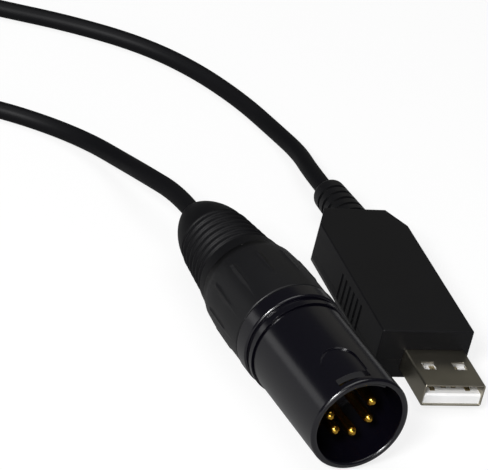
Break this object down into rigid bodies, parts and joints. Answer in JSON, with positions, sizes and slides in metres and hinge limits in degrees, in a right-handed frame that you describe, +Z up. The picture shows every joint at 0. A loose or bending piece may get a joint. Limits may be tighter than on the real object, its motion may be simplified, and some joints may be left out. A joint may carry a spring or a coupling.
{
  "type": "usb dmx interface",
  "caption": "Slim black housing with a USB plug at one end, joined by a coiled round cable to a round metal connector with contact pins and a screw-on boot.",
  "frame": {"origin": "bottom centre of the box round the housing and the connector as they lie side by side, without the cable", "axes": "+Z up from the table; +Y from the plugs' free ends to their cable ends; +X from the round connector to the USB housing"},
  "size_m": [0.1314, 0.1845, 0.0199],
  "materials": {
    "housing": "satin",
    "relief": "matte",
    "plug_metal": "satin",
    "carrier": "satin",
    "contact": "polished",
    "board": "satin",
    "chip": "matte",
    "lead": "satin",
    "can": "satin",
    "small_part": "matte",
    "wire": "satin",
    "jacket": "satin",
    "shell": "gloss",
    "insert": "satin",
    "chuck": "satin",
    "nut": "satin",
    "boot": "matte"
  },
  "bodies": {
    "base": {"usb_lower_shell": "housing", "usb_upper_shell": "housing", "usb_strain_relief": "relief", "usb_metal_shell": "plug_metal", "usb_tongue": "carrier", "usb_contact_1": "contact", "usb_contact_2": "contact", "usb_contact_3": "contact", "usb_contact_4": "contact", "circuit_board": "board", "converter_chip": "chip", "converter_chip_leads": "lead", "line_driver_chip": "chip", "line_driver_leads": "lead", "clock_crystal": "can", "bulk_capacitor": "can", "small_parts": "small_part", "usb_wires": "wire", "usb_cable_end": "jacket", "xlr_shell": "shell", "xlr_insert": "insert", "xlr_pin_1": "contact", "xlr_pin_2": "contact", "xlr_pin_3": "contact", "xlr_pin_4": "contact", "xlr_pin_5": "contact", "xlr_ground_spring": "contact", "xlr_wires": "wire", "xlr_cable_end": "jacket", "cable_usb_stretch": "jacket", "cable_coil": "jacket", "cable_xlr_stretch": "jacket"},
    "chuck": {"xlr_chuck": "chuck"},
    "boot": {"xlr_boot_nut": "nut", "xlr_boot_sleeve": "boot"}
  },
  "joints": [
    {"name": "boot_travel", "type": "slide", "parent": "base", "child": "chuck", "axis": [-0.1431, 0.9897, 0], "range_m": [0, 0.005]},
    {"name": "boot_turn", "type": "hinge", "parent": "chuck", "child": "boot", "pos_m": [-0.01427, -0.00329, 0.00995], "axis": [-0.1431, 0.9897, 0], "range_deg": [0, 1801]}
  ],
  "couplings": [
    {"joint": "boot_turn", "follows": "boot_travel", "rad_per_m": 6283.2}
  ]
}
